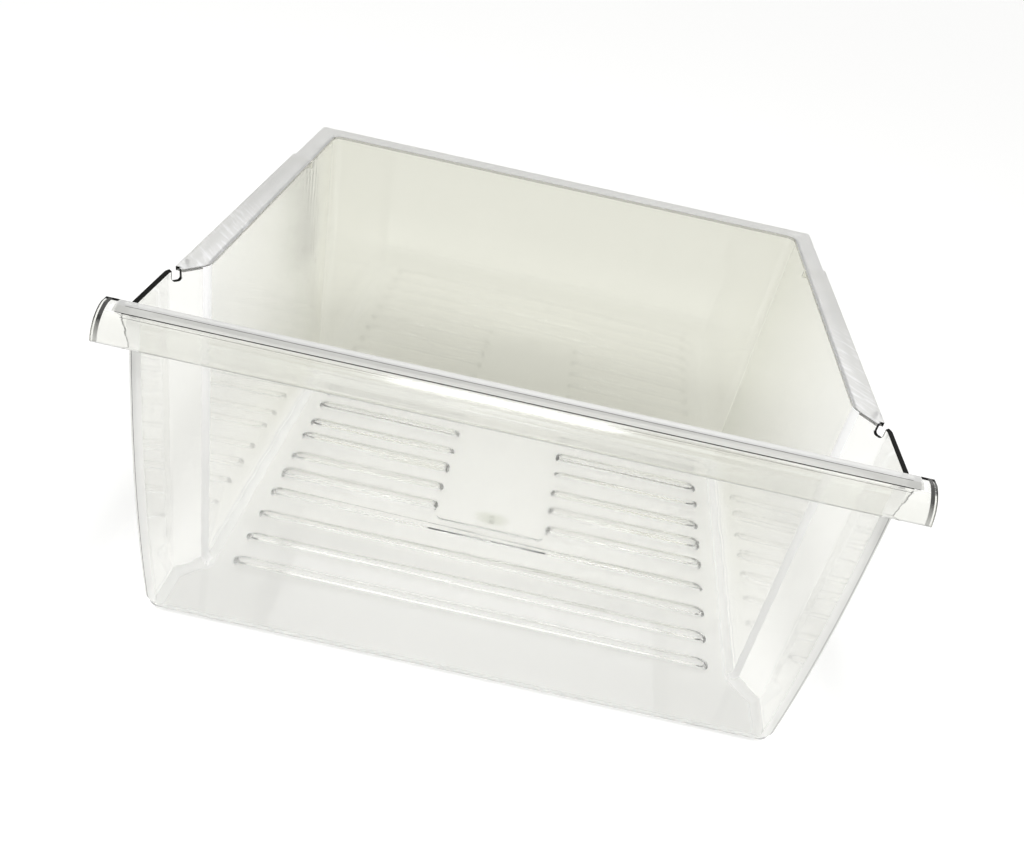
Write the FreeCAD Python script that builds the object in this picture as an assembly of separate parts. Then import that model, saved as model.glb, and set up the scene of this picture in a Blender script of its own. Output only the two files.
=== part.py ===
import FreeCAD, Part
import math
import os

# Fridge crisper drawer, injection moulded in one piece of clear plastic.
# X runs across the drawer, Y from the front to the rear, Z up.
# The origin is on the standing surface, under the middle of the drawer's outline.

# Body, outside sizes at the rim
drawer_height = 210.0        # underside of the floor to the rim
main_width = 364.0           # over the main side walls
body_depth = 313.5           # front panel face to the rear wall's outside
front_bow = 7.0              # the front panel bulges forward this much, halfway up
jog_inset = 15.0             # front section stands this much wider than the main walls, each side
jog_start = 42.5             # front panel face to the crease where the side wall turns inwards
jog_angle = math.radians(41.0)      # turn of the jog from the line of the side wall

# Section of the moulding
wall = 2.5
draft = math.radians(1.1)           # lean of the walls, so that the drawer leaves its mould
jog_draft = math.radians(2.6)       # lean of the jog walls
floor_radius = 9.0           # outside round between walls and floor
front_corner_radius = 3.5    # outside round of the side walls' turn into the front panel
rear_corner_radius = 8.5     # outside round of the rear upright corners
crease_radius = 6.0          # outside round where the front section turns into the jog
inner_crease_radius = 4.0    # outside round where the jog meets the main wall

# Front panel, a plate with square upright edges
panel_edge = 0.3             # past the front section's walls, each side
panel_corner_radius = 7.0    # lower corners, seen from the front

# Rim flange on the sides and the rear
side_flange = 11.0           # flange outside the main wall
rear_flange = 12.0           # flange outside the rear wall
flange_thickness = 2.5
flange_corner_radius = 3.0

# Detent notch in the top of the jog wall, between the front section and the flange
notch_offset = 2.0           # crease to the notch, along the jog
notch_width = 5.5
notch_depth = 6.5
notch_radius = 1.8
notch_flange_gap = 1.0       # rear side of the notch to the front end of the flange

# Runner lip under the outer edge of each side flange
lip_thickness = 2.5
lip_proud = 1.5              # flange and lip stand this much wider in front of the lip's end than behind it
lip_drop = 5.0               # below the underside of the flange
lip_start = 12.5             # front end of the flange to the lip
lip_rear_gap = 71.5          # end of the lip to the rear edge of the flange
lip_web = 2.0                # web that closes the lip's rear end against the wall

# Pull hood along the top of the front panel
hood_overhang = 13.0         # ear past the front section, each side
hood_thickness = 3.0
hood_strip = 3.0             # flat top, forward of the panel face
hood_reach = 17.0            # panel face to the front of the lip
hood_drop = 16.0             # rim to the lip's outer edge
hood_crown = 3.2             # bulge of the curved front over its chord
hood_edge_radius = 1.2
hood_root_bevel = 5.0        # bevel that fills the corner between the hood's underside and the panel
ear_web_reach = 6.7          # panel's ends widen this much below the ears, to carry them
ear_web_height = 22.0        # rim down to where the widening begins

# Floor ridges, raised inside and hollow underneath
ridge_pitch = 24.85
ridge_first = 56.3           # front panel face to the middle of the first ridge
ridge_width = 13.0
ridge_height = 3.0
ridge_slope = math.radians(35.0)    # sides and ends of the ridges, from upright
ridge_end_flats = 6          # short flats that make up each round end
ridge_side_margin = 15.3     # inside of the main wall, at the floor, to the ridge ends
ridge_rear_margin = 26.0     # inside of the rear wall, at the floor, to the middle of the last ridge
full_ridges = 4              # ridges that run right across, before the pad begins

# Shallow pad in the middle of the floor, with the gate mark of the moulding
pad_width = 80.0
pad_rise = 0.8
pad_corner_radius = 4.0
ridge_pad_gap = 1.0          # side of the pad to the inner ends of the split ridges
gate_setback = 12.0          # front edge of the pad to the gate
gate_ring_diameter = 7.0
gate_ring_width = 1.2
gate_ring_rise = 0.5
gate_stub_diameter = 3.0
gate_stub_drop = 0.5

# Room by which cutting solids run past a face, and how close two points are the same place
overrun = 1.0
same_place = 1e-6

front_width = main_width + 2 * jog_inset
flange_width = main_width + 2 * side_flange
hood_width = front_width + 2 * hood_overhang
panel_y = hood_reach - (hood_reach + body_depth + rear_flange) / 2
rear_y = panel_y + body_depth
flange_rear_y = rear_y + rear_flange
crease_y = panel_y + jog_start
flange_front_y = crease_y + (notch_offset + notch_width) * math.cos(jog_angle) + notch_flange_gap
lip_start_y = flange_front_y + lip_start
lip_end_y = flange_rear_y - lip_rear_gap
bow_radius = (drawer_height ** 2 / 4 + front_bow ** 2) / (2 * front_bow)


def box(x_low, x_high, y_low, y_high, z_low, z_high):
    corner = FreeCAD.Vector(x_low, y_low, z_low)
    return Part.makeBox(x_high - x_low, y_high - y_low, z_high - z_low, corner)


def mirrored(shape):
    return shape.mirror(FreeCAD.Vector(0, 0, 0), FreeCAD.Vector(1, 0, 0))


def block_between(low, high):
    """Solid between two rings of corners, one above the other, with flat sides."""
    loops = [low, high]
    for i, foot in enumerate(low):
        loops.append([low[i - 1], foot, high[i], high[i - 1]])
    faces = [Part.Face(Part.makePolygon(loop + loop[:1])) for loop in loops]
    return Part.Solid(Part.Shell(faces))


def lean_at(z):
    return (drawer_height - z) * math.tan(draft)


def bow_cylinder(inset):
    """Great cylinder, across the drawer, whose front is the bowed face of the panel."""
    start = FreeCAD.Vector(-hood_width / 2, panel_y - front_bow + bow_radius, drawer_height / 2)
    return Part.makeCylinder(bow_radius - inset, hood_width, start, FreeCAD.Vector(1, 0, 0))


def outline(z, inset):
    """Corners of the body's plan at height z, moved inwards by inset; the front is trimmed later."""
    half_front = front_width / 2 - lean_at(z) - inset
    half_main = main_width / 2 - lean_at(z) - inset
    front = panel_y - front_bow - overrun
    rear = rear_y - lean_at(z) - inset
    crease = crease_y - (drawer_height - z) * math.tan(jog_draft)
    crease -= inset * math.tan(jog_angle / 2)
    jog_end = crease + (half_front - half_main) / math.tan(jog_angle)
    right = [(half_front, front), (half_front, crease), (half_main, jog_end), (half_main, rear)]
    left = [(-x, y) for x, y in reversed(right)]
    return [FreeCAD.Vector(x, y, z) for x, y in right + left]


def rounded_tub(bottom, top, inset):
    """Drafted block of the body's plan, with its upright edges and its floor edges rounded."""
    low = outline(bottom, inset)
    block = block_between(low, outline(top, inset)).common(bow_cylinder(inset))
    upright = [front_corner_radius - inset, crease_radius - inset,
               inner_crease_radius + inset, rear_corner_radius - inset]
    radii = upright + upright[::-1]
    rounds = []
    for index, edge in enumerate(block.Edges, 1):
        ends = [vertex.Point for vertex in edge.Vertexes]
        if all(abs(end.z - bottom) < same_place for end in ends):
            rounds.append((index, floor_radius - inset, floor_radius - inset))
        elif abs(ends[0].z - ends[1].z) > overrun:
            foot = min(ends, key=lambda end: end.z)
            corner = min(range(len(low)), key=lambda i: (low[i] - foot).Length)
            rounds.append((index, radii[corner], radii[corner]))
    document = FreeCAD.newDocument("tub")
    base = document.addObject("Part::Feature", "block")
    base.Shape = block
    fillet = document.addObject("Part::Fillet", "rounded_block")
    fillet.Base = base
    fillet.Edges = rounds
    document.recompute()
    return fillet.Shape.copy()


def flange_plate():
    """Flat rim flange over the sides and the rear, filled in the middle until the inside is cut."""
    half = flange_width / 2
    plate = box(-half, half, flange_front_y, flange_rear_y, drawer_height - flange_thickness, drawer_height)
    rear_corners = []
    for edge in plate.Edges:
        ends = [vertex.Point for vertex in edge.Vertexes]
        if abs(ends[0].z - ends[1].z) > overrun and ends[0].y > rear_y:
            rear_corners.append(edge)
    plate = plate.makeFillet(flange_corner_radius, rear_corners)
    half += lip_proud
    return plate.fuse(box(-half, half, flange_front_y, lip_end_y, drawer_height - flange_thickness, drawer_height))


def runner_lip():
    """Lip under the outer edge of the right flange, closed at its rear by a web to the wall."""
    outside = flange_width / 2 + lip_proud
    under = drawer_height - flange_thickness - lip_drop
    lip = box(outside - lip_thickness, outside, lip_start_y, lip_end_y, under, drawer_height)
    web = box(main_width / 2 - wall, outside, lip_end_y - lip_web, lip_end_y, under, drawer_height)
    return lip.fuse(web)


def notch_cutter():
    """Round-bottomed slot straight through the right jog wall, open at the rim."""
    low = drawer_height - notch_depth
    slot = box(-wall - overrun, overrun, notch_offset, notch_offset + notch_width, low, drawer_height + overrun)
    bottom_edges = [edge for edge in slot.Edges
                    if abs(edge.BoundBox.ZMax - low) < same_place and edge.BoundBox.XLength > overrun]
    slot = slot.makeFillet(notch_radius, bottom_edges)
    slot.rotate(FreeCAD.Vector(0, 0, 0), FreeCAD.Vector(0, 0, 1), math.degrees(jog_angle))
    slot.translate(FreeCAD.Vector(front_width / 2, crease_y, 0))
    return slot


def hood_curve():
    """Ends, centre and radius of the hood's curved front, from its chord and its crown."""
    start = FreeCAD.Vector(0, panel_y - hood_strip, drawer_height)
    end = FreeCAD.Vector(0, panel_y - hood_reach, drawer_height - hood_drop)
    chord = end - start
    radius = (chord.Length ** 2 / 4 + hood_crown ** 2) / (2 * hood_crown)
    inwards = FreeCAD.Vector(0, -chord.z, chord.y).normalize()
    centre = (start + end) / 2 + inwards * (radius - hood_crown)
    return start, end, centre, radius


def point_on_arc(centre, radius, towards):
    return centre + (towards - centre).normalize() * radius


def hood_section():
    """Section of the hood's sheet, from the inside of the panel to the lip."""
    start, end, centre, radius = hood_curve()
    crown = (start + end) / 2
    inner_radius = radius - hood_thickness
    back_y = panel_y + wall
    top_back = FreeCAD.Vector(0, back_y, drawer_height)
    under_back = FreeCAD.Vector(0, back_y, centre.z + math.sqrt(inner_radius ** 2 - (back_y - centre.y) ** 2))
    inner_crown = point_on_arc(centre, inner_radius, crown)
    inner_end = point_on_arc(centre, inner_radius, end)
    outer_crown = point_on_arc(centre, radius, crown)
    edges = [Part.LineSegment(top_back, start).toShape(),
             Part.Arc(start, outer_crown, end).toShape(),
             Part.LineSegment(end, inner_end).toShape(),
             Part.Arc(inner_end, inner_crown, under_back).toShape(),
             Part.LineSegment(under_back, top_back).toShape()]
    return Part.Face(Part.Wire(edges))


def hood():
    """Curved pull along the top of the front panel, with an ear past each end of it."""
    sheet = hood_section().extrude(FreeCAD.Vector(hood_width, 0, 0))
    sheet.translate(FreeCAD.Vector(-hood_width / 2, 0, 0))
    lip = hood_curve()[1]
    lip_edges = [edge for edge in sheet.Edges
                 if edge.BoundBox.XLength > hood_width - overrun
                 and (edge.CenterOfMass - lip).Length < hood_thickness + overrun]
    return sheet.makeFillet(hood_edge_radius, lip_edges)


def panel_plate():
    """Bowed front panel with the bevel under the hood, its ends slanted out below the ears."""
    low = floor_radius
    knee = drawer_height - ear_web_height
    half = hood_width / 2
    slab = box(-half, half, panel_y - front_bow, panel_y + wall, low, drawer_height)
    slab = slab.common(bow_cylinder(0)).cut(bow_cylinder(wall))
    joined = hood().fuse(slab).removeSplitter()
    corner = FreeCAD.Vector(0, panel_y, drawer_height - hood_thickness)
    roots = [edge for edge in joined.Edges
             if edge.BoundBox.XLength > hood_width - overrun and (edge.CenterOfMass - corner).Length < overrun]
    joined = joined.makeChamfer(hood_root_bevel, roots)
    edge_half = front_width / 2 + panel_edge
    right = [(edge_half - lean_at(low), low), (edge_half - lean_at(knee), knee),
             (edge_half - lean_at(knee) + ear_web_reach, drawer_height)]
    left = [(-x, z) for x, z in reversed(right)]
    view = [FreeCAD.Vector(x, panel_y - hood_reach, z) for x, z in right + left]
    trim = Part.Face(Part.makePolygon(view + view[:1])).extrude(FreeCAD.Vector(0, hood_reach + wall, 0))
    lower_corners = [edge for edge in trim.Edges
                     if edge.BoundBox.YLength > hood_reach and abs(edge.BoundBox.ZMax - low) < overrun]
    return joined.common(trim.makeFillet(panel_corner_radius, lower_corners))


def ridge_rows():
    """Places of the ridges from the front, as many as the floor has room for."""
    first = panel_y + ridge_first
    last = rear_y - lean_at(wall) - wall - ridge_rear_margin
    count = int((last - first) / ridge_pitch) + 1
    return [first + row * ridge_pitch for row in range(count)]


def ridge_spans(row):
    """Ends of each ridge in a row: one across the floor, or one on each side of the pad."""
    end = main_width / 2 - lean_at(wall) - wall - ridge_side_margin
    if row < full_ridges:
        return [(-end, end)]
    inner = pad_width / 2 + ridge_pad_gap
    return [(-end, -inner), (inner, end)]


def ridge_ring(left, right, y, z, inset):
    """Outline of one ridge at height z, moved in by inset, each round end in short flats."""
    radius = ridge_width / 2 + (wall - z) * math.tan(ridge_slope) - inset / math.cos(ridge_slope)
    ring = []
    for x, start in ((right - ridge_width / 2, -math.pi / 2), (left + ridge_width / 2, math.pi / 2)):
        for step in range(ridge_end_flats + 1):
            angle = start + math.pi * step / ridge_end_flats
            ring.append(FreeCAD.Vector(x + radius * math.cos(angle), y + radius * math.sin(angle), z))
    return ring


def ridge_bars(inset, low, high):
    """Long round-ended blocks with sloped sides between two heights, moved in by inset, for all the ridges."""
    bars = []
    for row, y in enumerate(ridge_rows()):
        for left, right in ridge_spans(row):
            bars.append(block_between(ridge_ring(left, right, y, low, inset), ridge_ring(left, right, y, high, inset)))
    return bars


def pad_block(low, high):
    """Block of the pad's outline, from behind the last full ridge to behind the last split one."""
    rows = ridge_rows()
    front = rows[full_ridges - 1] + ridge_pitch / 2
    rear = rows[-1] + ridge_pitch / 2
    block = box(-pad_width / 2, pad_width / 2, front, rear, low, high)
    corners = [edge for edge in block.Edges if edge.BoundBox.ZLength > (high - low) / 2]
    return block.makeFillet(pad_corner_radius, corners)


def gate_mark():
    """Ring and stub left by the mould's gate, in the recess under the pad."""
    gate = FreeCAD.Vector(0, ridge_rows()[full_ridges - 1] + ridge_pitch / 2 + gate_setback, pad_rise)
    down = FreeCAD.Vector(0, 0, -1)
    embed = FreeCAD.Vector(0, 0, wall / 2)
    ring = Part.makeCylinder(gate_ring_diameter / 2, gate_ring_rise + wall / 2, gate + embed, down)
    hollow = Part.makeCylinder(gate_ring_diameter / 2 - gate_ring_width, gate_ring_rise, gate, down)
    stub = Part.makeCylinder(gate_stub_diameter / 2, gate_stub_drop + wall / 2, gate + embed, down)
    return ring.cut(hollow).fuse(stub)


def drawer():
    """The whole moulding: shell, rim, hood and floor as one solid."""
    lip = runner_lip()
    added = [flange_plate(), lip, mirrored(lip), hood(), panel_plate()]
    inside = rounded_tub(wall, drawer_height + overrun, wall)
    notch = notch_cutter()
    body = rounded_tub(0, drawer_height, 0).fuse(added)
    body = body.cut([inside, notch, mirrored(notch)])
    body = body.fuse(ridge_bars(0, wall / 2, wall + ridge_height) + [pad_block(wall / 2, wall + pad_rise)])
    body = body.cut(ridge_bars(wall, -overrun, ridge_height) + [pad_block(-overrun, pad_rise)])
    return body.fuse(gate_mark()).removeSplitter()


shape = drawer()
os.makedirs("parts", exist_ok=True)
shape.Solids[0].exportStep("parts/crisper_drawer.step")
extent = shape.BoundBox
print("solids", len(shape.Solids), "valid", shape.isValid(), "volume", round(shape.Volume))
print("x", round(extent.XMin, 2), round(extent.XMax, 2), "y", round(extent.YMin, 2), round(extent.YMax, 2),
      "z", round(extent.ZMin, 2), round(extent.ZMax, 2))
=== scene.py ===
import math

import bpy
from mathutils import Matrix, Vector


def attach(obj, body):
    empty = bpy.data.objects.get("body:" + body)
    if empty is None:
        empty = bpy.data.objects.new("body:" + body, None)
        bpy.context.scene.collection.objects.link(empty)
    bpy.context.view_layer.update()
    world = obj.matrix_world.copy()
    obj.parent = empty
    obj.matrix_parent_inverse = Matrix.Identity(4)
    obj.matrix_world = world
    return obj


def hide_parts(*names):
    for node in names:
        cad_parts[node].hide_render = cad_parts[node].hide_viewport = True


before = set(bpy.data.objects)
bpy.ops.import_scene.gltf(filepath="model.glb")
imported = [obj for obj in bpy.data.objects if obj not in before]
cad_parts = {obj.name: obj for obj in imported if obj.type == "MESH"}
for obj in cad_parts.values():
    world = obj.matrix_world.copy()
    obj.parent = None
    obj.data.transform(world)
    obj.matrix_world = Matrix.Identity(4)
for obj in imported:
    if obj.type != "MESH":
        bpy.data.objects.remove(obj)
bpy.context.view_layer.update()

MM = 0.001

# Where the drawer was seen from: above and in front of its pull, with the horizon tilted
CAMERA_PLACE = Vector((0.0, -560.45 * MM, 452.8 * MM))
CAMERA_DOWN = math.radians(33.077)
CAMERA_ROLL = math.radians(12.488)
CAMERA_FOCAL = 959.6                # in pixels, as the width of the image is
IMAGE_WIDTH = 1024.0
SENSOR_WIDTH = 36.0
CAMERA_NEAREST = 10 * MM
LIGHT_BOUNCES = 32                  # enough for the light that runs along inside the walls

# The body of the drawer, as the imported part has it
RIM_HEIGHT = 210 * MM
FLOOR_TOP = 2.5 * MM
FLOOR_ROUND = 9 * MM
STANDING_EDGE = (165 * MM, 140 * MM)        # the rounds under the walls are outside this
MAIN_WALL = 170 * MM                        # all side walls are outside this
FRONT_WALL_INSIDE = 190 * MM                # the front section's side walls are outside this
WALL_LEAN = math.tan(math.radians(1.1))
WALL_EDGE = 209.4 * MM                      # the front section's wall tops are painted dark down to this, as painted shade
CREASE = Vector((197 * MM, -111.75 * MM))   # the jog's front crease, at the rim
JOG_ANGLE = math.radians(41)
INNER_CREASE = (-98.5 * MM, -92.3 * MM)     # the jog's rear crease lies between these, at the rim
CREASE_LEAN = math.tan(math.radians(2.6))
NOTCH_SPAN = (2 * MM, 7.5 * MM)             # from the front crease, along the jog
NOTCH_BOTTOM = 203.5 * MM
NOTCH_REACH = 3 * MM                        # how far inside the front section's wall it goes
RIDGE_TOP = 5.5 * MM
RIDGE_OUTER_END = (153.5 * MM, 161 * MM)
RIDGE_INNER_END = (40.5 * MM, 47.7 * MM)
GATE = (0.0, 1.0 * MM, 2.5 * MM)

# The front panel, and the slanted webs at its ends that carry the ears
PANEL_BACK = -151.75 * MM                   # inside of the panel, at the rim
PANEL_TOP = (-160 * MM, 178 * MM)           # above this height, the hood's skirt is in front of this
PANEL_EDGE = (191.3 * MM, 196.15 * MM, 196.4 * MM)  # hazed strip, at the rim, and its painted dark line, as painted shade
PANEL_END = 197.6 * MM
EAR_WEB = (192 * MM, 204 * MM)              # the webs' edges lie between these
EAR_WEB_FOOT = 187.5 * MM
WEB_LINE = 196.2 * MM                       # a painted dark line along the web begins here, at its foot, as painted shade
WEB_RUN, WEB_RISE = 6.7, 22
WEB_SLANT = math.atan2(WEB_RUN, WEB_RISE)

# The pull hood and its ears, with painted dark lines as painted shade where the skin is seen through
# on edge
HOOD_TOP = 206 * MM
HOOD_DROP = 17 * MM                         # how far below the rim the hood's skin counts as handled
HOOD_LINES = [(-163.6 * MM, -163.45 * MM), (-161.85 * MM, -161.35 * MM),
              (-157.2 * MM, -156.9 * MM)]   # front to rear
HOOD_LINE_REACH = 198 * MM
EAR_END = 210 * MM
EAR_BACK = (203 * MM, -154.1 * MM)          # the rear corner, outside and behind this, is painted dark as painted shade
EAR_FADE = (194 * MM, 205 * MM)             # the ear's end is painted darker upwards over this height, as painted shade
# Bands across the hood at the ears, painted dark like the ear's end: painted shade
EAR_LINES = [(206.4 * MM, 208.5 * MM), (209.4 * MM, 211 * MM)]

# How a face of each kind looks upwards, outwards, inwards or rearwards, as a part of its normal
FLAT = 0.9
HOOD_FACING = 0.05
HOOD_TOP_FACING = 0.7
CREASE_FACING = 0.5
WEB_FACING = 0.8
STANDING_FACING = (-0.95, -0.3)
FLOOR_ROUND_FACING = (0.15, 0.97)
RIDGE_FACING = (0.3, 0.9)
RIDGE_OUTER_FACING = 0.1
RIDGE_INNER_FACING = 0.4
NEAR = 0.3 * MM
SAME_PLACE = 0.002 * MM
SOFT_EDGE = math.radians(40)

# The plastic: its inside, grease, gate and rim scuffs, with its painted cream rear and painted dark
# edges
POLYSTYRENE_IOR = 1.59
INSIDE_TINT, INSIDE_DENSITY = "#EFEFED", 2.5
GREASE_PATCH = 45 * MM
GREASE_SHARE = (0.42, 0.75)
GATE_LEAF = (16 * MM, 8 * MM, 4 * MM)
GATE_LEAF_CORE = 0.5
GATE_TINT = "#E4E5DE"
# Painted reflection: cream and darker towards the rear and upwards, for the backdrop seen through the
# walls
PAINTED_BACKDROP_TINT = "#DBDBD0"
PAINTED_BACKDROP_REARWARDS = (-110 * MM, 150 * MM)
PAINTED_BACKDROP_UPWARDS = (4 * MM, 30 * MM)
# Painted shade: near-black for edges that look dark from the light trapped inside the wall
PAINTED_SHADE_TINTS = ("#0A0A09", "#131311")
DARK_PATCH = 6 * MM
DARK_SHINE = 0.02
HAZE_CLOUD = 9 * MM
HAZE_DEPTH = 0.96                           # how bright the haze is where it is thickest
RIM_TINT, SCUFF_TINT = "#DCDCDB", "#F6F6F8"
RIM_CLEARNESS = 0.65
SCUFF_SLANT = math.radians(40)
SCUFF_SIZE = (2.5 * MM, 16 * MM, 10 * MM)
SCUFF_SHARE = (0.5, 0.68)
SCUFF_FADE = (10 * MM, -20 * MM)            # the scuffs begin between these, towards the front

# The floor under the drawer and the light on it
STUDIO_WIDTH = 60.0
STUDIO_FLOOR_DROP = 0.2 * MM
PAPER_TINT = "#F7F7F6"
LIGHT_TABLE = 0.45
LIGHT_TABLE_SIDES = [("X", -255 * MM, -188 * MM), ("X", 255 * MM, 188 * MM),
                     ("Y", -330 * MM, -190 * MM), ("Y", 215 * MM, 150 * MM)]    # dark, then bright
OVERHEAD_POWER = 1.15
OVERHEAD_SPREAD = math.radians(100)
OVERHEAD_TILT = (math.radians(-12), math.radians(10), 0)
WINDOW_SIZE = (0.36, 0.42)
WINDOW_POWER = 5.5
WINDOW_PLACE = (-0.02, -0.53, 1.2)
WINDOW_TILT = (math.radians(20), 0, 0)
SKY_STRENGTH = 0.69

# The finishes, in the order of drawer_finishes; the dark edges, the ear ends, the greyer standing
# edge and the glowing whites hold painted shade and painted light
(CLEAR, EDGE_PAINTED_DARK, WORN_RIM, EAR_PAINTED_SHADE, HANDLED, MILKY_PAINTED_GLOW, STANDING_EDGE_PAINTED_GREY, HAZED_EDGE,
 HOOD_BAND, HOOD_REAR, ROUND_PAINTED_GLOW) = range(11)


def linear(code):
    """Linear red, green, blue and alpha of an sRGB hex colour."""
    parts = [int(code[i:i + 2], 16) / 255 for i in (1, 3, 5)]
    return [c / 12.92 if c <= 0.04045 else ((c + 0.055) / 1.055) ** 2.4 for c in parts] + [1.0]


def add(tree, kind, settings=None, values=None, links=None):
    """One node, with its settings, its socket values and the sockets that feed it."""
    node = tree.nodes.new(kind)
    for name, value in (settings or {}).items():
        setattr(node, name, value)
    for name, value in (values or {}).items():
        node.inputs[name].default_value = value
    for name, source in (links or {}).items():
        tree.links.new(source, node.inputs[name])
    return node


def new_material(name):
    """An empty material and its node tree."""
    material = bpy.data.materials.new(name)
    material.use_nodes = True
    material.node_tree.nodes.clear()
    return material, material.node_tree


def deselect():
    """Leaves edit mode and selects nothing."""
    if bpy.context.object and bpy.context.object.mode != "OBJECT":
        bpy.ops.object.mode_set(mode="OBJECT")
    bpy.ops.object.select_all(action="DESELECT")


def finger_grease(tree, place, cleanest, greasiest):
    """Roughness of the plastic, dulled by finger grease in patches about half a hand wide."""
    smudge = add(tree, "ShaderNodeTexNoise", values={"Scale": 1 / GREASE_PATCH, "Detail": 4.0},
                 links={"Vector": place})
    return add(tree, "ShaderNodeMapRange",
               values={"From Min": GREASE_SHARE[0], "From Max": GREASE_SHARE[1],
                       "To Min": cleanest, "To Max": greasiest},
               links={"Value": smudge.outputs["Fac"]}).outputs["Result"]


def clear_polystyrene(name, tint, rim_painted_shade=None):
    """Clear polystyrene, moulded against polished steel: bright walls with a touch of grease.

    A faint cloudy leaf spreads from the gate, where the plastic flowed in. The walls are painted
    creamier and darker towards the rear and upwards, standing in for the backdrop seen through
    them. An ear's end is painted near-black towards the rim: painted shade for the light it traps.
    """
    material, tree = new_material(name)
    place = add(tree, "ShaderNodeTexCoord").outputs["Object"]
    axes = add(tree, "ShaderNodeSeparateXYZ", links={"Vector": place})
    if rim_painted_shade:
        share = add(tree, "ShaderNodeMapRange",
                    values={"From Min": EAR_FADE[0], "From Max": EAR_FADE[1]},
                    links={"Value": axes.outputs["Z"]})
        other = rim_painted_shade
    else:
        leaf = add(tree, "ShaderNodeMapping", {"vector_type": "TEXTURE"},
                   {"Location": GATE, "Scale": GATE_LEAF}, {"Vector": place})
        spread = add(tree, "ShaderNodeTexGradient", {"gradient_type": "SPHERICAL"},
                     links={"Vector": leaf.outputs["Vector"]})
        share = add(tree, "ShaderNodeMapRange",
                    values={"From Min": 0.0, "From Max": GATE_LEAF_CORE},
                    links={"Value": spread.outputs["Fac"]})
        other = GATE_TINT
    rearwards = add(tree, "ShaderNodeMapRange",
                    values={"From Min": PAINTED_BACKDROP_REARWARDS[0], "From Max": PAINTED_BACKDROP_REARWARDS[1]},
                    links={"Value": axes.outputs["Y"]})
    upwards = add(tree, "ShaderNodeMapRange",
                  values={"From Min": PAINTED_BACKDROP_UPWARDS[0], "From Max": PAINTED_BACKDROP_UPWARDS[1]},
                  links={"Value": axes.outputs["Z"]})
    painted_backdrop_share = add(tree, "ShaderNodeMath", {"operation": "MULTIPLY"},
                   links={0: rearwards.outputs["Result"], 1: upwards.outputs["Result"]})
    body = add(tree, "ShaderNodeMix", {"data_type": "RGBA"},
               {6: linear(tint), 7: linear(PAINTED_BACKDROP_TINT)}, {0: painted_backdrop_share.outputs["Value"]})
    colour = add(tree, "ShaderNodeMix", {"data_type": "RGBA"}, {7: linear(other)},
                 {0: share.outputs["Result"], 6: body.outputs[2]})
    surface = add(tree, "ShaderNodeBsdfPrincipled",
                  values={"IOR": POLYSTYRENE_IOR, "Transmission Weight": 1.0},
                  links={"Base Color": colour.outputs[2],
                         "Roughness": finger_grease(tree, place, cleanest=0.015, greasiest=0.07)})
    inside = add(tree, "ShaderNodeVolumeAbsorption",
                 values={"Color": linear(INSIDE_TINT), "Density": INSIDE_DENSITY})
    add(tree, "ShaderNodeOutputMaterial",
        links={"Surface": surface.outputs["BSDF"], "Volume": inside.outputs["Volume"]})
    return material


def paint_edge_shade():
    """Edge of a clear wall seen on end, painted near-black: painted shade for the light that runs
    down inside it.
    """
    material, tree = new_material("polystyrene_painted_edge_shade")
    place = add(tree, "ShaderNodeTexCoord").outputs["Object"]
    depth = add(tree, "ShaderNodeTexNoise", values={"Scale": 1 / DARK_PATCH, "Detail": 2.0},
                links={"Vector": place})
    colour = add(tree, "ShaderNodeMix", {"data_type": "RGBA"},
                 {6: linear(PAINTED_SHADE_TINTS[0]), 7: linear(PAINTED_SHADE_TINTS[1])}, {0: depth.outputs["Fac"]})
    surface = add(tree, "ShaderNodeBsdfPrincipled",
                  values={"IOR": POLYSTYRENE_IOR, "Specular IOR Level": DARK_SHINE},
                  links={"Base Color": colour.outputs[2],
                         "Roughness": finger_grease(tree, place, cleanest=0.22, greasiest=0.4)})
    add(tree, "ShaderNodeOutputMaterial", links={"Surface": surface.outputs["BSDF"]})
    return material


def hazed_polystyrene(name, tint, clearness, painted_glow=0.0):
    """Polystyrene gone a little milky from hands on the hood, or made milky white at bends.

    A glow, where one is given, is painted light: the surface emits it, and so keeps a bend, or a
    strip in the hood's shade, as pale as the wall.
    """
    material, tree = new_material(name)
    place = add(tree, "ShaderNodeTexCoord").outputs["Object"]
    cloud = add(tree, "ShaderNodeTexNoise", values={"Scale": 1 / HAZE_CLOUD, "Detail": 3.0},
                links={"Vector": place})
    thickest = [channel * HAZE_DEPTH for channel in linear(tint)[:3]] + [1.0]
    colour = add(tree, "ShaderNodeMix", {"data_type": "RGBA"}, {6: linear(tint), 7: thickest},
                 {0: cloud.outputs["Fac"]})
    surface = add(tree, "ShaderNodeBsdfPrincipled",
                  values={"IOR": POLYSTYRENE_IOR, "Transmission Weight": clearness,
                          "Emission Color": linear("#FFFFFF"), "Emission Strength": painted_glow},
                  links={"Base Color": colour.outputs[2],
                         "Roughness": finger_grease(tree, place, cleanest=0.1, greasiest=0.18)})
    add(tree, "ShaderNodeOutputMaterial", links={"Surface": surface.outputs["BSDF"]})
    return material


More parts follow.
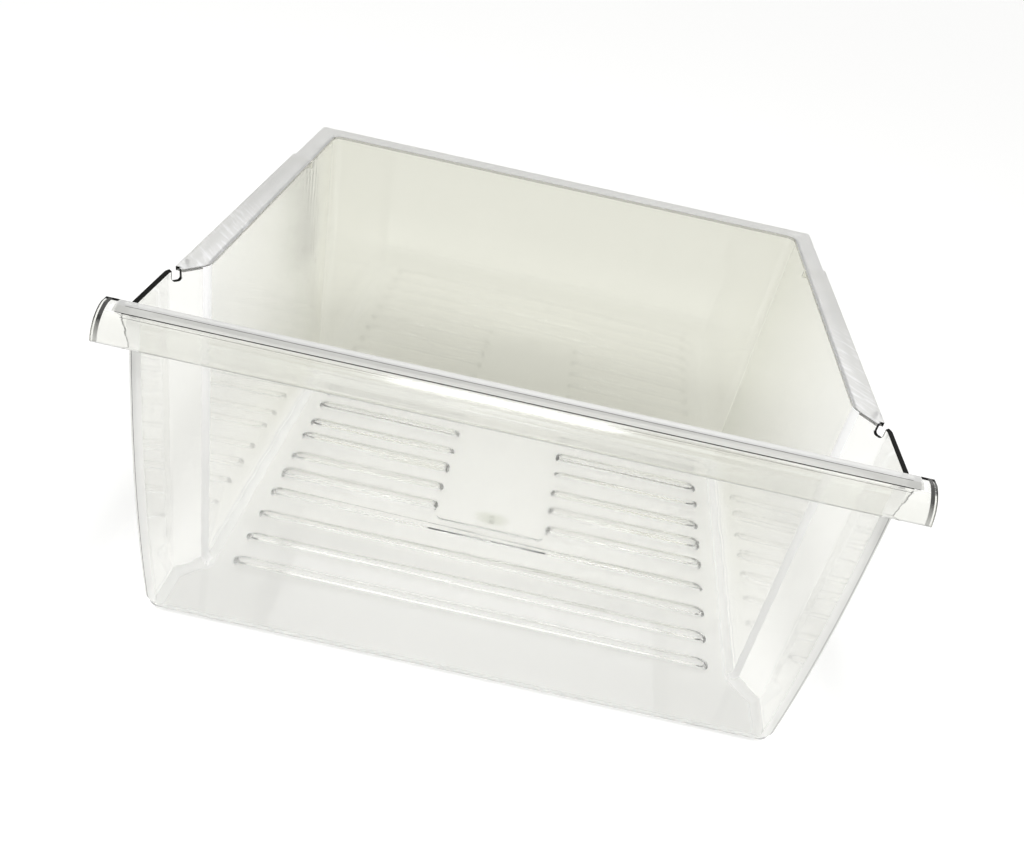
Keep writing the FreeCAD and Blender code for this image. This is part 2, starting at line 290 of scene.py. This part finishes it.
def worn_polystyrene():
    """Rim that slid on its runners: hazed a pale grey, with whiter slanting scuffs at the front."""
    material, tree = new_material("polystyrene_worn_rim")
    place = add(tree, "ShaderNodeTexCoord").outputs["Object"]
    slanted = add(tree, "ShaderNodeMapping", {"vector_type": "TEXTURE"},
                  {"Rotation": (0, 0, SCUFF_SLANT), "Scale": SCUFF_SIZE}, {"Vector": place})
    streaks = add(tree, "ShaderNodeTexNoise", values={"Scale": 1.0, "Detail": 3.0},
                  links={"Vector": slanted.outputs["Vector"]})
    scuffed = add(tree, "ShaderNodeMapRange",
                  values={"From Min": SCUFF_SHARE[0], "From Max": SCUFF_SHARE[1]},
                  links={"Value": streaks.outputs["Fac"]})
    along = add(tree, "ShaderNodeSeparateXYZ", links={"Vector": place}).outputs["Y"]
    forwards = add(tree, "ShaderNodeMapRange",
                   values={"From Min": SCUFF_FADE[0], "From Max": SCUFF_FADE[1]},
                   links={"Value": along})
    share = add(tree, "ShaderNodeMath", {"operation": "MULTIPLY"},
                links={0: scuffed.outputs["Result"], 1: forwards.outputs["Result"]})
    colour = add(tree, "ShaderNodeMix", {"data_type": "RGBA"},
                 {6: linear(RIM_TINT), 7: linear(SCUFF_TINT)}, {0: share.outputs["Value"]})
    surface = add(tree, "ShaderNodeBsdfPrincipled",
                  values={"IOR": POLYSTYRENE_IOR, "Transmission Weight": RIM_CLEARNESS},
                  links={"Base Color": colour.outputs[2],
                         "Roughness": finger_grease(tree, place, cleanest=0.32, greasiest=0.42)})
    add(tree, "ShaderNodeOutputMaterial", links={"Surface": surface.outputs["BSDF"]})
    return material


def drawer_finishes():
    """Every finish of the moulding, in the order of their numbers."""
    return [clear_polystyrene("clear_polystyrene", "#F4F4F2"),
            paint_edge_shade(),
            worn_polystyrene(),
            clear_polystyrene("clear_polystyrene_ear_end", "#E8E8E4", rim_painted_shade="#0C0C0A"),
            hazed_polystyrene("polystyrene_handled", "#E8E8E2", clearness=0.72),
            # Milky white with a painted glow, which is painted light
            hazed_polystyrene("polystyrene_white_painted_glow", "#FFFFFF", clearness=0.05, painted_glow=0.19),
            # Greyer tint: painted shade for the line along the bottom edge
            clear_polystyrene("clear_polystyrene_standing_edge", "#DEDFDA"),
            hazed_polystyrene("polystyrene_hazed_edge", "#E2E2DF", clearness=0.25),
            hazed_polystyrene("polystyrene_hood_band", "#BABAB6", clearness=0.25),
            hazed_polystyrene("polystyrene_hood_rear", "#C6C6C4", clearness=0.25),
            hazed_polystyrene("polystyrene_floor_round", "#FFFFFF", clearness=0.5, painted_glow=0.08)]


def cut_across(point, normal):
    """Cuts the mesh in hand along a plane, so that a finish can begin there."""
    bpy.ops.mesh.select_all(action="SELECT")
    bpy.ops.mesh.bisect(plane_co=point, plane_no=normal)


def cut_for_finishes():
    """Every cut of the moulding: along its hood, rim, creases, panel edges, webs and ears."""
    hood_lines = [y for line in HOOD_LINES for y in line]
    for y in [PANEL_BACK, CREASE.y + NOTCH_SPAN[0], EAR_BACK[1]] + hood_lines:
        cut_across((0, y, 0), (0, 1, 0))
    for z in (WALL_EDGE, EAR_WEB_FOOT):
        cut_across((0, 0, z), (0, 0, 1))
    for y in INNER_CREASE:
        cut_across((0, y, RIM_HEIGHT), (0, 1, -CREASE_LEAN))
    for x in PANEL_EDGE:
        cut_across((x, 0, RIM_HEIGHT), (1, 0, -WALL_LEAN))
        cut_across((-x, 0, RIM_HEIGHT), (1, 0, WALL_LEAN))
    for side in (-1, 1):
        cut_across((side * WEB_LINE, 0, EAR_WEB_FOOT),
                   (side * math.cos(WEB_SLANT), 0, -math.sin(WEB_SLANT)))
    ear_lines = [x for line in EAR_LINES for x in line]
    for x in [EAR_BACK[0], HOOD_LINE_REACH] + ear_lines:
        cut_across((-x, 0, 0), (1, 0, 0))
        cut_across((x, 0, 0), (1, 0, 0))


def finish_of(centre, normal):
    """Which finish a face has, by its place and the way it faces."""
    x, y, z = abs(centre.x), centre.y, centre.z
    outwards = normal.x if centre.x > 0 else -normal.x

    # The hood, the rim and the ears, with painted dark edges and lines as painted shade
    on_rim = z > RIM_HEIGHT - NEAR and normal.z > FLAT
    on_hood = y < PANEL_BACK and z > RIM_HEIGHT - HOOD_DROP and normal.z > HOOD_FACING
    if on_hood and any(inner < x < outer for inner, outer in EAR_LINES):
        return EAR_PAINTED_SHADE
    on_hood_top = y < PANEL_BACK and z > HOOD_TOP and normal.z > HOOD_TOP_FACING
    if on_hood_top:
        if x > EAR_BACK[0] and y > EAR_BACK[1]:
            return EDGE_PAINTED_DARK
        if x < HOOD_LINE_REACH and any(front < y < rear for front, rear in HOOD_LINES):
            return EDGE_PAINTED_DARK
        if y > HOOD_LINES[1][1] and x < EAR_BACK[0]:
            return HOOD_BAND if y < HOOD_LINES[2][0] else HOOD_REAR
    in_front_section = x > FRONT_WALL_INSIDE and y < CREASE.y + NOTCH_SPAN[0]
    if on_rim and y > PANEL_BACK:
        return EDGE_PAINTED_DARK if in_front_section else WORN_RIM
    if x > EAR_END - NEAR:
        return EAR_PAINTED_SHADE
    if x > EAR_BACK[0] and normal.y > FLAT and y < PANEL_BACK + NEAR and z > HOOD_TOP:
        return EDGE_PAINTED_DARK
    if in_front_section and y > PANEL_BACK and z > WALL_EDGE:
        return EDGE_PAINTED_DARK

    # The jog's rear crease, milky white with a painted glow that keeps it as pale as the wall
    from_rim = y + (RIM_HEIGHT - z) * CREASE_LEAN
    in_crease = x > MAIN_WALL and INNER_CREASE[0] < from_rim < INNER_CREASE[1]
    if in_crease and outwards < -CREASE_FACING and FLOOR_TOP < z < WALL_EDGE:
        return MILKY_PAINTED_GLOW

    # The front panel, and what is left of the hood: a painted dark line on each web and in the edge
    # strip as painted shade, and a painted glow on the strip behind the hood
    from_middle = x + (RIM_HEIGHT - z) * WALL_LEAN
    clear_of_skirt = y > PANEL_TOP[0] or z < PANEL_TOP[1]
    on_panel = y < PANEL_BACK and clear_of_skirt and normal.y < -FLAT
    past_line = (x - WEB_LINE) * math.cos(WEB_SLANT) - (z - EAR_WEB_FOOT) * math.sin(WEB_SLANT)
    if on_panel and EAR_WEB_FOOT < z < HOOD_TOP and past_line > 0:
        return EDGE_PAINTED_DARK
    if on_panel and FLOOR_ROUND < z < HOOD_TOP and PANEL_EDGE[0] < from_middle < PANEL_END:
        if z > EAR_WEB_FOOT:
            return MILKY_PAINTED_GLOW
        return EDGE_PAINTED_DARK if PANEL_EDGE[1] < from_middle < PANEL_EDGE[2] else HAZED_EDGE
    if on_hood and y < HOOD_LINES[1][0]:
        return HANDLED

    # The rounds between the floor and the walls: outside, a greyer tint as painted shade for the line
    # along the bottom edge; inside, milky with a painted glow
    beyond_floor = x > STANDING_EDGE[0] or abs(y) > STANDING_EDGE[1]
    if beyond_floor and z < FLOOR_ROUND and STANDING_FACING[0] < normal.z < STANDING_FACING[1]:
        return STANDING_EDGE_PAINTED_GREY
    on_round = FLOOR_ROUND_FACING[0] < normal.z < FLOOR_ROUND_FACING[1]
    if beyond_floor and FLOOR_TOP < z < FLOOR_ROUND and on_round:
        return ROUND_PAINTED_GLOW

    # Painted shade: the webs' edges, the sides of the notches and the rear-facing ends of the floor
    # ridges are painted dark
    in_web = EAR_WEB[0] < x < EAR_WEB[1] and z > EAR_WEB_FOOT and y < PANEL_BACK
    if in_web and outwards > WEB_FACING:
        return EDGE_PAINTED_DARK
    away = Vector((x, y)) - CREASE
    along_jog = away.y * math.cos(JOG_ANGLE) - away.x * math.sin(JOG_ANGLE)
    in_notch = NOTCH_SPAN[0] - NEAR < along_jog < NOTCH_SPAN[1] + NEAR and z > NOTCH_BOTTOM - NEAR
    if in_notch and x > FRONT_WALL_INSIDE - NOTCH_REACH and not on_rim:
        return EDGE_PAINTED_DARK
    on_ridge = FLOOR_TOP < z < RIDGE_TOP - NEAR and RIDGE_FACING[0] < normal.z < RIDGE_FACING[1]
    if on_ridge and normal.y > RIDGE_OUTER_FACING:
        if RIDGE_OUTER_END[0] < x < RIDGE_OUTER_END[1] and outwards > RIDGE_OUTER_FACING:
            return EDGE_PAINTED_DARK
        if RIDGE_INNER_END[0] < x < RIDGE_INNER_END[1] and outwards < -RIDGE_INNER_FACING:
            return EDGE_PAINTED_DARK
    return CLEAR


def drawer_moulding():
    """The whole drawer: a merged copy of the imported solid, smooth on its rounds, crisp at edges."""
    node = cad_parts["crisper_drawer"]
    piece = bpy.data.objects.new("drawer_moulding", node.data.copy())
    bpy.context.scene.collection.objects.link(piece)
    deselect()
    piece.select_set(True)
    bpy.context.view_layer.objects.active = piece
    bpy.ops.object.mode_set(mode="EDIT")
    bpy.ops.mesh.select_all(action="SELECT")
    bpy.ops.mesh.remove_doubles(threshold=SAME_PLACE)
    cut_for_finishes()
    bpy.ops.object.mode_set(mode="OBJECT")
    if piece.data.has_custom_normals:
        bpy.ops.mesh.customdata_custom_splitnormals_clear()
    bpy.ops.object.shade_smooth_by_angle(angle=SOFT_EDGE)
    piece.data.materials.clear()
    for finish in drawer_finishes():
        piece.data.materials.append(finish)
    for face in piece.data.polygons:
        face.material_index = finish_of(face.center, face.normal)
    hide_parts("crisper_drawer")
    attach(piece, "root")


def studio_floor():
    """Wide pale floor that glows where the drawer stands, as a light table would: painted light that
    lifts the shade under and around the drawer.
    """
    deselect()
    bpy.ops.mesh.primitive_plane_add(size=STUDIO_WIDTH, location=(0, 0, -STUDIO_FLOOR_DROP))
    bpy.ops.object.transform_apply(location=True, rotation=False, scale=False)
    floor = bpy.context.object
    floor.name = "studio_floor"
    material, tree = new_material("white_paper_painted_glow")
    place = add(tree, "ShaderNodeTexCoord").outputs["Object"]
    axes = add(tree, "ShaderNodeSeparateXYZ", links={"Vector": place})
    sides = [add(tree, "ShaderNodeMapRange", {"interpolation_type": "SMOOTHSTEP"},
                 {"From Min": dark, "From Max": bright}, {"Value": axes.outputs[axis]})
             for axis, dark, bright in LIGHT_TABLE_SIDES]
    # The paper's own glow is painted light, strongest under the drawer and fading outside it
    glow = add(tree, "ShaderNodeMath", {"operation": "MULTIPLY"}, {1: LIGHT_TABLE},
               {0: sides[0].outputs["Result"]})
    for side in sides[1:]:
        glow = add(tree, "ShaderNodeMath", {"operation": "MULTIPLY"},
                   links={0: side.outputs["Result"], 1: glow.outputs["Value"]})
    paper = add(tree, "ShaderNodeBsdfPrincipled",
                values={"Base Color": linear(PAPER_TINT), "Roughness": 0.9,
                        "Specular IOR Level": 0.1, "Emission Color": linear("#FFFFFF")},
                links={"Emission Strength": glow.outputs["Value"]})
    add(tree, "ShaderNodeOutputMaterial", links={"Surface": paper.outputs["BSDF"]})
    floor.data.materials.append(material)


def studio_light():
    """A wide soft light overhead, a window behind the camera, and an even sky."""
    lamp = bpy.data.lights.new("overhead_softbox", "SUN")
    lamp.energy = OVERHEAD_POWER
    lamp.angle = OVERHEAD_SPREAD
    holder = bpy.data.objects.new("overhead_softbox", lamp)
    holder.rotation_euler = OVERHEAD_TILT
    bpy.context.scene.collection.objects.link(holder)
    lamp = bpy.data.lights.new("window_light", "AREA")
    lamp.shape = "RECTANGLE"
    lamp.size, lamp.size_y = WINDOW_SIZE
    lamp.energy = WINDOW_POWER
    holder = bpy.data.objects.new("window_light", lamp)
    holder.location = WINDOW_PLACE
    holder.rotation_euler = WINDOW_TILT
    bpy.context.scene.collection.objects.link(holder)
    world = bpy.data.worlds.new("studio_sky")
    bpy.context.scene.world = world
    world.use_nodes = True
    tree = world.node_tree
    tree.nodes.clear()
    sky = add(tree, "ShaderNodeBackground",
              values={"Color": linear("#FFFFFF"), "Strength": SKY_STRENGTH})
    add(tree, "ShaderNodeOutputWorld", links={"Surface": sky.outputs["Background"]})


def photo_camera():
    """The camera at the photograph's place, with its lens and its tilt."""
    camera = bpy.data.cameras.new("camera")
    camera.sensor_fit = "HORIZONTAL"
    camera.sensor_width = SENSOR_WIDTH
    camera.lens = CAMERA_FOCAL / IMAGE_WIDTH * SENSOR_WIDTH
    camera.clip_start = CAMERA_NEAREST
    holder = bpy.data.objects.new("camera", camera)
    forward = Vector((0, math.cos(CAMERA_DOWN), -math.sin(CAMERA_DOWN)))
    level_right = Vector((1, 0, 0))
    level_up = level_right.cross(forward)
    right = level_right * math.cos(CAMERA_ROLL) + level_up * math.sin(CAMERA_ROLL)
    up = level_up * math.cos(CAMERA_ROLL) - level_right * math.sin(CAMERA_ROLL)
    turn = Matrix((right, up, -forward)).transposed().to_4x4()
    holder.matrix_world = Matrix.Translation(CAMERA_PLACE) @ turn
    bpy.context.scene.collection.objects.link(holder)
    bpy.context.scene.camera = holder


drawer_moulding()
studio_floor()
studio_light()
photo_camera()
bpy.context.scene.view_settings.view_transform = "Standard"
bpy.context.scene.cycles.max_bounces = LIGHT_BOUNCES
bpy.context.scene.cycles.transmission_bounces = LIGHT_BOUNCES
bpy.context.scene.cycles.glossy_bounces = LIGHT_BOUNCES
